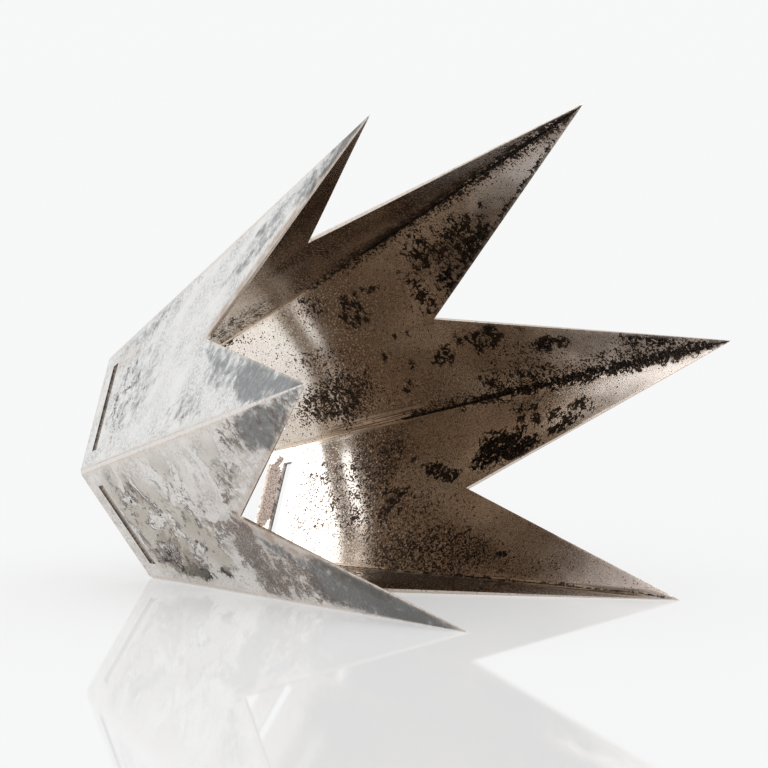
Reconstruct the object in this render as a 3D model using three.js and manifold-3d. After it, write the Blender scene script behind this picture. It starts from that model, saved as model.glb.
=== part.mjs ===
// Hexagonal crown sculpture, lying on one of its six sides.
//
// Six equal flat panels of sheet metal stand around one axis and lean outward. Each panel has a deep V cut
// from its wide end, so that two neighbours share a spike, and one narrow slot near its narrow end.
// The panels are mitred, and a solder seam fills the joint along each ridge. Both ends of the crown are open.
//
// Millimetres. +Z is up and the lowest panel rests on z = 0. +X runs along that panel from the narrow end
// to the spikes. The origin is below the middle of the crown, at the bottom centre of its bounding box.

import * as THREE from "three";
import { mergeVertices } from "three/addons/utils/BufferGeometryUtils.js";
import Module from "manifold-3d";

const wasm = await Module();
wasm.setup();

// ---- Driving dimensions ----

const SIDES = 6;
const HEIGHT = 100; // narrow rim to the spikes' tips, along the crown's axis
const VALLEY_HEIGHT = 47.9; // narrow rim to the bottom of a V, along the axis
const NARROW_RADIUS = 25.2; // axis to a ridge, at the narrow rim
const WIDE_RADIUS = 54; // axis to the tip of a spike
const SHEET = 1.2; // thickness of the sheet metal
const SLOT_OFFSET = 4.7; // narrow rim to the slot's centre line, up the panel
const SLOT_LENGTH = 18.6;
const SLOT_WIDTH = 2.1;
const SEAM_WIDTH = 0.8; // solder between two mitred edges
const CLEARANCE = 0.3; // kept between a seam and the panel beside it

// ---- Worked out from them ----

const HALF_STEP = Math.PI / SIDES; // half of the angle that one side takes up
const NARROW_APOTHEM = NARROW_RADIUS * Math.cos(HALF_STEP);
const WIDE_APOTHEM = WIDE_RADIUS * Math.cos(HALF_STEP);
const LEAN = Math.atan((WIDE_APOTHEM - NARROW_APOTHEM) / HEIGHT); // panel against the axis
const RIDGE_SLOPE = (WIDE_RADIUS - NARROW_RADIUS) / HEIGHT;

// ---- Names, in order around the axis from the resting panel towards +Y ----

const PANEL_NAMES = [
  "panel_base",
  "panel_rear_lower",
  "panel_rear_upper",
  "panel_top",
  "panel_front_upper",
  "panel_front_lower",
];
const SEAM_NAMES = [
  "seam_rear_base",
  "seam_rear",
  "seam_rear_top",
  "seam_front_top",
  "seam_front",
  "seam_front_base",
];

// ---- Materials ----

const silver = new THREE.MeshStandardMaterial({ color: 0x9d958a, roughness: 0.35, metalness: 1 });
const solder = new THREE.MeshStandardMaterial({ color: 0xc4beb4, roughness: 0.3, metalness: 1 });

// ---- Helpers ----

/** The solid that a closed geometry encloses. */
function toSolid(geometry) {
  const bare = geometry.clone();
  bare.deleteAttribute("normal");
  bare.deleteAttribute("uv");
  const merged = mergeVertices(bare);
  const vertProperties = new Float32Array(merged.attributes.position.array);
  const triVerts = new Uint32Array(merged.index.array);
  return new wasm.Manifold(new wasm.Mesh({ numProp: 3, vertProperties, triVerts }));
}

/** The flat-shaded geometry of a solid. */
function toGeometry(solid) {
  const { vertProperties, triVerts } = solid.getMesh();
  const indexed = new THREE.BufferGeometry();
  indexed.setAttribute("position", new THREE.BufferAttribute(vertProperties, 3));
  indexed.setIndex(new THREE.BufferAttribute(triVerts, 1));
  const geometry = indexed.toNonIndexed();
  geometry.computeVertexNormals();
  return geometry;
}

/** A section drawn in the YZ plane and extruded along +X, the crown's axis. */
function extrudeAlongAxis(section, length) {
  const geometry = new THREE.ExtrudeGeometry(section, { depth: length, bevelEnabled: false });
  return geometry.rotateX(Math.PI / 2).rotateZ(Math.PI / 2);
}

// ---- Pieces, made below the axis: the axis is +X and the resting side faces -Z ----

/** The straight slot across a panel, with round ends. */
function slotPath() {
  const radius = SLOT_WIDTH / 2;
  const reach = SLOT_LENGTH / 2 - radius;
  const slot = new THREE.Path();
  slot.absarc(SLOT_OFFSET, reach, radius, 0, Math.PI, false);
  slot.absarc(SLOT_OFFSET, -reach, radius, Math.PI, 2 * Math.PI, false);
  slot.closePath();
  return slot;
}

/** The sheet before its edges are trimmed: x runs up the panel, y across it, and z is its thickness. */
function sheetBlank() {
  const margin = 5; // beyond the edges that the trimming gives
  const halfWidth = WIDE_RADIUS / 2 + margin;
  const valley = VALLEY_HEIGHT / Math.cos(LEAN);
  const tip = HEIGHT / Math.cos(LEAN);
  const corner = valley + ((tip - valley) * halfWidth) / (WIDE_RADIUS / 2);
  const outline = new THREE.Shape();
  outline.moveTo(-margin, -halfWidth);
  outline.lineTo(corner, -halfWidth);
  outline.lineTo(valley, 0);
  outline.lineTo(corner, halfWidth);
  outline.lineTo(-margin, halfWidth);
  outline.closePath();
  outline.holes.push(slotPath());
  return new THREE.ExtrudeGeometry(outline, { depth: SHEET, bevelEnabled: false, curveSegments: 6 });
}

/** The space that one panel may fill: a sector between two mitre planes, from the rim to the tips. */
function panelSector() {
  const apex = (SEAM_WIDTH / 2 + CLEARANCE) / Math.sin(HALF_STEP);
  const far = 2 * WIDE_RADIUS;
  const halfWidth = (far - apex) * Math.tan(HALF_STEP);
  const sector = new THREE.Shape();
  sector.moveTo(0, -apex);
  sector.lineTo(-halfWidth, -far);
  sector.lineTo(halfWidth, -far);
  sector.closePath();
  return extrudeAlongAxis(sector, HEIGHT);
}

function panelGeometry() {
  const blank = sheetBlank().rotateY(LEAN).translate(0, 0, -NARROW_APOTHEM);
  return toGeometry(toSolid(blank).intersect(toSolid(panelSector())));
}

/** A bar that follows the ridge, with the two outer faces and the two inner faces of the sheets it joins. */
function seamGeometry() {
  const half = SEAM_WIDTH / 2;
  const sheetLevel = SHEET / Math.cos(LEAN); // thickness of the leaning sheet, square to the axis
  const ridge = -NARROW_RADIUS;
  const crease = ridge + sheetLevel / Math.cos(HALF_STEP);
  const fall = half * Math.tan(HALF_STEP);
  const section = new THREE.Shape();
  section.moveTo(0, ridge);
  section.lineTo(half, ridge + fall);
  section.lineTo(half, crease + fall);
  section.lineTo(0, crease);
  section.lineTo(-half, crease + fall);
  section.lineTo(-half, ridge + fall);
  section.closePath();
  const lean = new THREE.Matrix4().makeShear(0, -RIDGE_SLOPE, 0, 0, 0, 0);
  return extrudeAlongAxis(section, HEIGHT).applyMatrix4(lean);
}

// ---- Assembly ----

/** One copy of a piece per side, turned about the crown's axis. */
function addAround(crown, names, geometry, material, firstAngle) {
  names.forEach((name, side) => {
    const piece = new THREE.Mesh(geometry, material);
    piece.name = name;
    piece.rotation.x = firstAngle + side * 2 * HALF_STEP;
    crown.add(piece);
  });
}

const crown = new THREE.Group();
addAround(crown, PANEL_NAMES, panelGeometry(), silver, 0);
addAround(crown, SEAM_NAMES, seamGeometry(), solder, HALF_STEP);

// Lie the crown down: its axis tilts up by the panels' lean, which brings the base panel onto z = 0.
crown.rotation.y = -LEAN;
crown.position.set(-NARROW_APOTHEM * Math.sin(LEAN), 0, NARROW_APOTHEM * Math.cos(LEAN));

const sculpture = new THREE.Group();
sculpture.add(crown);
sculpture.updateMatrixWorld(true);
const middle = new THREE.Box3().setFromObject(sculpture, true).getCenter(new THREE.Vector3());
crown.position.x -= middle.x;
sculpture.updateMatrixWorld(true);

export default sculpture;
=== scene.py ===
"""Looks of the hexagonal crown sculpture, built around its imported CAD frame.

Every panel and every solder seam of the frame is replaced by a finer mesh in the same place. A panel has
rounded cut edges and a gently uneven surface. A seam has a filed round ridge outside and a fillet inside.
Lengths are in metres, in the frame's own axes. Only the tarnish marks and the lens are in millimetres.
"""

import math

import bmesh
import bpy
import numpy as np
from mathutils import Matrix, Vector, noise


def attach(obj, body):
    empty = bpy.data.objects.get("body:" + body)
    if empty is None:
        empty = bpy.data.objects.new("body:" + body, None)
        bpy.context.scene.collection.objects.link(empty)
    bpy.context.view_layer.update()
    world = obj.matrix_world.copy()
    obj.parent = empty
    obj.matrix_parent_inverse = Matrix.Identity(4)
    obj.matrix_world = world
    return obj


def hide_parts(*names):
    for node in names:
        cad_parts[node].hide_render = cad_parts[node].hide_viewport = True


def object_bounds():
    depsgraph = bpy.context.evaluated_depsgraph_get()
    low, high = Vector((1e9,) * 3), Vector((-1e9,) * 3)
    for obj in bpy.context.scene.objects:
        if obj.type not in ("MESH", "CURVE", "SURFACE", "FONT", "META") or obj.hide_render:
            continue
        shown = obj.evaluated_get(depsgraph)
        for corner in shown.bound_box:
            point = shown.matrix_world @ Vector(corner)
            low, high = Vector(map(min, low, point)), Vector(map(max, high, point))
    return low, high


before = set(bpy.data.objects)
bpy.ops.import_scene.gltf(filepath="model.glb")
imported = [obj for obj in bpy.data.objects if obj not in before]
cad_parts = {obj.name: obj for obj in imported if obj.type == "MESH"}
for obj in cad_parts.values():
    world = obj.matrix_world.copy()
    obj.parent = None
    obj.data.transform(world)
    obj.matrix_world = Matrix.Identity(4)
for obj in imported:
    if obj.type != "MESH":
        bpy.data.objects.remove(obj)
cad_low, cad_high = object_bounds()

MM = 0.001
TINY = 1e-9

# ---- The crown's driving dimensions, as in the CAD frame ----

SIDES = 6
HEIGHT = 100 * MM
VALLEY_HEIGHT = 47.9 * MM
NARROW_RADIUS = 25.2 * MM
WIDE_RADIUS = cad_high.y
SHEET = 1.2 * MM
SLOT_OFFSET = 4.7 * MM
SLOT_LENGTH = 18.6 * MM
SLOT_WIDTH = 2.1 * MM

# ---- Worked out from them ----

HALF_STEP = math.pi / SIDES
NARROW_APOTHEM = NARROW_RADIUS * math.cos(HALF_STEP)
WIDE_APOTHEM = WIDE_RADIUS * math.cos(HALF_STEP)
LEAN = math.atan2(WIDE_APOTHEM - NARROW_APOTHEM, HEIGHT)
RIDGE_LEAN = math.atan2(WIDE_RADIUS - NARROW_RADIUS, HEIGHT)
PANEL_LENGTH = HEIGHT / math.cos(LEAN)
VALLEY = VALLEY_HEIGHT / math.cos(LEAN)  # rim to the bottom of the V, up the panel
NARROW_HALF = NARROW_RADIUS / 2  # half of a panel's width at the rim
WIDE_HALF = WIDE_RADIUS / 2
FLARE = math.atan2(WIDE_HALF - NARROW_HALF, PANEL_LENGTH)  # a ridge against the panel's centre line
V_FLARE = math.atan2(WIDE_HALF, PANEL_LENGTH - VALLEY)  # an edge of the V against the centre line
SLOT_LOW = SLOT_OFFSET - SLOT_WIDTH / 2
SLOT_HIGH = SLOT_OFFSET + SLOT_WIDTH / 2

# Half of the angle that the sheet turns through at a ridge
MITRE = math.acos(math.cos(LEAN) ** 2 * math.cos(2 * HALF_STEP) + math.sin(LEAN) ** 2) / 2

AXIS = np.array([math.cos(LEAN), 0.0, math.sin(LEAN)])
ACROSS = np.array([0.0, 1.0, 0.0])
UPWARD = np.array([-math.sin(LEAN), 0.0, math.cos(LEAN)])
RIM_CENTRE = np.array([cad_low.x + NARROW_APOTHEM * math.sin(LEAN), 0.0, NARROW_APOTHEM * math.cos(LEAN)])

PANELS = [
    "panel_base",
    "panel_rear_lower",
    "panel_rear_upper",
    "panel_top",
    "panel_front_upper",
    "panel_front_lower",
]
SEAMS = [
    "seam_rear_base",
    "seam_rear",
    "seam_rear_top",
    "seam_front_top",
    "seam_front",
    "seam_front_base",
]

# ---- How the sheet is finished by hand ----

RIDGE_RADIUS = 1.2 * MM  # of the filed outer ridge
TIP_THINNING = 0.74  # share of the thickness filed away at the tip of a spike
TIP_CUT = 0.9 * MM  # a panel ends this far short of the sharp tip, which the seam forms
FILED_EDGE = 0.6  # how thin the sheet is filed along the V, as a share of its thickness
FILED_WIDTH = 8 * MM
EDGE_ROUND = 0.1 * MM
EDGE_SEGMENTS = 3
FACE_WEIGHT = 60  # how far the large faces set the normals of the rounded edges
SEAM_LAP = 0.35 * MM  # a panel's inner skin stops this far short of the crease, under the seam
SEAM_HALF = 0.45 * MM  # half of the seam's width inside
FILLET_RADIUS = 1.3 * MM
FILLET_GROWTH = 3.2 * MM  # added to the fillet's radius by the tip
FILLET_SHARE = 0.75  # the most of a spike's strip of sheet that the fillet takes up
END_SHARE = 0.25  # the seam's depth at the very tip, as a share of the thinned sheet's
END_TAPER = 2.5 * MM
WAVE_DEPTH = 0.05 * MM
WAVE_LENGTH = 28 * MM
WAVE_MARGIN = 5 * MM  # beside a ridge, where the sheet comes flat
WAVE_SEED = 7.3  # times a panel's number

PANEL_STEP = 1.0 * MM
PANEL_COLUMN = 0.05  # as a share of the way from the V to the ridge
SEAM_STEP = 0.8 * MM
SEAM_TIP_STEP = 0.35 * MM
SEAM_TIP = 3.6 * MM  # before the sharp tip, where the finer steps begin
SEAM_BLUNT = 0.1 * MM
SEAM_POINTS = 8  # across the ridge and across the fillet
SEAM_SHARP = math.radians(50)


def around(angle):
    """Outward and sideways directions at an angle round the crown, from the base panel towards +Y."""
    outward = math.sin(angle) * ACROSS - math.cos(angle) * UPWARD
    sideways = math.cos(angle) * ACROSS + math.sin(angle) * UPWARD
    return outward, sideways


def smoothstep(low, high, x):
    t = np.clip((np.asarray(x, float) - low) / (high - low), 0, 1)
    return t * t * (3 - 2 * t)


# ---- A panel's own coordinates: up from the rim, side from the centre line, depth below the outer face ----


class PanelSpace:
    def __init__(self, number):
        outward, self.sideways = around(2 * HALF_STEP * number)
        self.slope = math.cos(LEAN) * AXIS + math.sin(LEAN) * outward
        self.normal = math.cos(LEAN) * outward - math.sin(LEAN) * AXIS
        self.corner = RIM_CENTRE + NARROW_APOTHEM * outward

    def place(self, up, side, depth):
        up, side, depth = (np.asarray(v, float)[..., None] for v in (up, side, depth))
        return self.corner + up * self.slope + side * self.sideways - depth * self.normal


def half_width(up, inset):
    """Centre line to the ridge line, less an inset measured square to the ridge."""
    return NARROW_HALF + up * math.tan(FLARE) - inset / math.cos(FLARE)


def v_edge(up):
    """Centre line to the edge of the V at that height, zero below its bottom."""
    rise = WIDE_HALF / (PANEL_LENGTH - VALLEY)
    return np.maximum(0.0, (np.asarray(up, float) - VALLEY) * rise)


def v_distance(up, side):
    """Distance from a point of a panel to the edge of its V, positive on the metal."""
    return (abs(side) - (up - VALLEY) * math.tan(V_FLARE)) * math.cos(V_FLARE)


def thinning(up):
    """How thick the sheet is, as a share of its full thickness: the spikes are filed down to a point."""
    return 1 - TIP_THINNING * smoothstep(VALLEY - 4 * MM, PANEL_LENGTH, up)


def thickness(up, side):
    """Thickness of the sheet at a point, thinner along the filed edges of the V."""
    filed = FILED_EDGE + (1 - FILED_EDGE) * smoothstep(0, FILED_WIDTH, v_distance(up, side))
    return SHEET * thinning(up) * filed


def ridge_reach(up):
    """From the sharp ridge line to where the filed round ends."""
    return RIDGE_RADIUS * thinning(up) * math.tan(MITRE)


def fillet_radius(up):
    """Radius of the inner corner between two panels, which opens out along the spikes."""
    strip = half_width(up, 0) - v_edge(up)
    widest = FILLET_SHARE * strip / math.tan(MITRE)
    return np.minimum(FILLET_RADIUS + FILLET_GROWTH * smoothstep(VALLEY, PANEL_LENGTH, up), widest)


def unevenness(number, up, side):
    """How far the hand-flattened sheet stands off its plane, fading out towards the ridges."""
    free = smoothstep(0, WAVE_MARGIN, half_width(up, 0) - abs(side))
    place = Vector((up / WAVE_LENGTH, side / WAVE_LENGTH, WAVE_SEED * number))
    return WAVE_DEPTH * free * noise.noise(place)


def spaced(breaks, step):
    """Values from the first break to the last, through every break, about one step apart."""
    values = [breaks[0]]
    for low, high in zip(breaks, breaks[1:]):
        count = max(1, round((high - low) / step))
        values.extend(low + (high - low) * (i + 1) / count for i in range(count))
    return values


# ---- Panels ----


def panel_points(space, number, up, half, share):
    """The outer and the inner point at a height, and at a share of the way from the V to the ridge."""
    start = float(v_edge(up))
    inner_inset = thinning(up) * (SHEET * math.tan(MITRE) + SEAM_LAP)
    insets = (ridge_reach(up), inner_inset)
    sides = [half * (start + max(0.0, half_width(up, inset) - start) * share) for inset in insets]
    crease_side = half_width(up, thinning(up) * SHEET * math.tan(MITRE))
    crease = (crease_side - abs(sides[1])) * math.cos(FLARE)
    radius = float(fillet_radius(up))
    reach = radius * math.tan(MITRE)
    fill = radius - math.sqrt(radius**2 - min(radius, max(0.0, reach - crease)) ** 2)
    depth = float(thickness(up, sides[1])) + fill
    wave = unevenness(number, up, sides[0])
    return space.place(up, sides[0], -wave), space.place(up, sides[1], depth - wave)


def panel_grid(bm, number, ups, shares):
    """Pairs of outer and inner vertices by half, row and column. The halves share their centre line."""
    space = PanelSpace(number)
    grid = {}
    for half in (-1, 1):
        for i, up in enumerate(ups):
            for j, share in enumerate(shares):
                on_centre = j == 0 and up <= VALLEY + TINY
                key = (0 if on_centre else half, i, j)
                if key not in grid:
                    outer, inner = panel_points(space, number, up, half, share)
                    grid[key] = (bm.verts.new(outer), bm.verts.new(inner))
    return grid


def panel_skins(bm, grid, ups, shares, slot_share):
    """The faces of the outer and the inner skin, with the slot left open."""
    slot_rows = {i for i, up in enumerate(ups[:-1]) if SLOT_LOW - TINY <= up < SLOT_HIGH - TINY}
    slot_columns = {j for j, share in enumerate(shares[:-1]) if share < slot_share - TINY}

    def vertex(half, i, j, layer):
        return grid[(0 if (0, i, j) in grid else half, i, j)][layer]

    for half in (-1, 1):
        for i in range(len(ups) - 1):
            for j in range(len(shares) - 1):
                if i in slot_rows and j in slot_columns:
                    continue
                corners = ((i, j), (i + 1, j), (i + 1, j + 1), (i, j + 1))
                for layer in (0, 1):
                    quad = [vertex(half, row, column, layer) for row, column in corners]
                    if (half > 0) == (layer == 0):
                        quad.reverse()
                    bm.faces.new(quad)


def panel_edges(bm, grid, last_column):
    """Joins the two skins along every open edge, and marks all but the ridges to be rounded."""
    twin = {outer: inner for outer, inner in grid.values()}
    ridge = {pair[0] for key, pair in grid.items() if key[2] == last_column}
    weight = bm.edges.layers.float.new("bevel_weight_edge")
    open_edges = [e for e in bm.edges if len(e.link_faces) == 1 and e.verts[0] in twin and e.verts[1] in twin]
    for edge in open_edges:
        loop = edge.link_loops[0]
        a, b = loop.vert, loop.link_loop_next.vert
        bm.faces.new((b, a, twin[a], twin[b]))
        for rim_edge in (edge, bm.edges.get((twin[a], twin[b]))):
            if a in ridge and b in ridge:
                rim_edge.smooth = False
            else:
                rim_edge[weight] = 1.0


def mesh_from(bm, name):
    mesh = bpy.data.meshes.new(name)
    bm.to_mesh(mesh)
    bm.free()
    return mesh


def add_object(name, data):
    made = bpy.data.objects.new(name, data)
    bpy.context.scene.collection.objects.link(made)
    return made


def panel_mesh(number, name):
    """The closed mesh of one panel, before its cut edges are rounded."""
    slot_share = SLOT_LENGTH / 2 / half_width(SLOT_OFFSET, ridge_reach(0))
    ups = spaced([0, SLOT_LOW, SLOT_HIGH, VALLEY, PANEL_LENGTH - TIP_CUT], PANEL_STEP)
    shares = spaced([0, slot_share, 1], PANEL_COLUMN)
    bm = bmesh.new()
    grid = panel_grid(bm, number, ups, shares)
    panel_skins(bm, grid, ups, shares, slot_share)
    panel_edges(bm, grid, len(shares) - 1)
    bm.normal_update()
    return mesh_from(bm, name)


def apply_modifiers(piece):
    """Bakes a piece's modifiers into its mesh."""
    graph = bpy.context.evaluated_depsgraph_get()
    mesh = bpy.data.meshes.new_from_object(piece.evaluated_get(graph), depsgraph=graph)
    piece.modifiers.clear()
    piece.data = mesh


def make_panel(number):
    name = PANELS[number].replace("panel", "sheet")
    piece = add_object(name, panel_mesh(number, name))
    bevel = piece.modifiers.new("edges", "BEVEL")
    bevel.limit_method = "WEIGHT"
    bevel.width = EDGE_ROUND
    bevel.segments = EDGE_SEGMENTS
    apply_modifiers(piece)
    piece.data.shade_smooth()
    weighted = piece.modifiers.new("normals", "WEIGHTED_NORMAL")
    weighted.weight = FACE_WEIGHT
    weighted.keep_sharp = True
    apply_modifiers(piece)
    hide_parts(PANELS[number])
    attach(piece, "root")
    return piece


# ---- Seams ----


def seam_section(up):
    """Cross-section square to the ridge: across the ridge, and inward from the sharp ridge line."""
    strip = (half_width(up, 0) - float(v_edge(up))) * math.cos(FLARE)
    spread = min(1.0, max(0.02, strip / (1.1 * ridge_reach(up))))  # less where the strip runs out
    points = []
    ridge = RIDGE_RADIUS * thinning(up)
    outer_half = ridge * math.sin(MITRE) * spread
    centre = ridge / math.cos(MITRE)
    for i in range(SEAM_POINTS + 1):
        across = outer_half * (2 * i / SEAM_POINTS - 1)
        points.append((across, centre - math.sqrt(ridge**2 - across * across)))
    radius = float(fillet_radius(up))
    inner_half = SEAM_HALF * thinning(up) * spread
    sheet = SHEET * thinning(up) * min(1.0, max(END_SHARE, (PANEL_LENGTH - up) / END_TAPER))
    floor = (sheet + radius) / math.cos(MITRE)
    for i in range(SEAM_POINTS + 1):
        across = inner_half * (1 - 2 * i / SEAM_POINTS)
        if abs(across) < radius * math.sin(MITRE):
            inward = floor - math.sqrt(radius**2 - across * across)
        else:
            inward = sheet / math.cos(MITRE) + abs(across) * math.tan(MITRE)
        points.append((across, inward))
    return points


def seam_rings(bm, number):
    """One ring of vertices at each step from the rim to the tip."""
    outward, sideways = around(2 * HALF_STEP * number + HALF_STEP)
    along = math.cos(RIDGE_LEAN) * AXIS + math.sin(RIDGE_LEAN) * outward
    inward = -(math.cos(RIDGE_LEAN) * outward - math.sin(RIDGE_LEAN) * AXIS)
    start = RIM_CENTRE + NARROW_RADIUS * outward
    ups = spaced([0, PANEL_LENGTH - 4 * MM], SEAM_STEP)
    ups += spaced([PANEL_LENGTH - SEAM_TIP, PANEL_LENGTH - SEAM_BLUNT], SEAM_TIP_STEP)
    rings = []
    for up in ups:
        centre = start + up / math.cos(FLARE) * along
        ring = []
        for a, b in seam_section(up):
            # the rim plane is square to the crown's axis, so the section slides along the ridge to meet it
            slide = b * math.tan(RIDGE_LEAN) * along
            ring.append(bm.verts.new(centre + a * sideways + b * inward + slide))
        rings.append(ring)
    return rings


def make_seam(number):
    name = SEAMS[number].replace("seam", "solder")
    bm = bmesh.new()
    rings = seam_rings(bm, number)
    for low, high in zip(rings, rings[1:]):
        for i in range(len(low)):
            j = (i + 1) % len(low)
            bm.faces.new((low[i], low[j], high[j], high[i]))
    bm.faces.new(list(reversed(rings[0])))
    bm.faces.new(rings[-1])
    bmesh.ops.recalc_face_normals(bm, faces=bm.faces)
    mesh = mesh_from(bm, name)
    piece = add_object(name, mesh)
    mesh.shade_smooth()
    mesh.set_sharp_from_angle(angle=SEAM_SHARP)
    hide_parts(SEAMS[number])
    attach(piece, "root")
    return piece


# ---- Tarnish: where it lies on each face ----

# Marks are lengths in mm and an amount. Six numbers are an ellipse: up, side, half length, half width, turn
# in degrees, amount. A band runs along a ridge or along the V: name, side it is on, from, to, width, amount.
# The kinds: "speck" fine brown pits, "worm" dark lace and curls, "black" thick crust, "dark" a heavy brown
# film, which on the spikes is partly painted shade for the dark reflection there, "rust" ragged brown-grey
# patches, "grey" a smoky blue-grey bloom, "crack" thin dark lines round pale flakes, "copper" a warm tint,
# "clean" rubbed metal, which in a few marks on the spikes is a painted highlight, "filed" golden solder with
# file lines.

MARK_KINDS = ("speck", "worm", "black", "dark", "rust", "grey", "crack", "copper", "clean_and_highlight", "filed")

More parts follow.
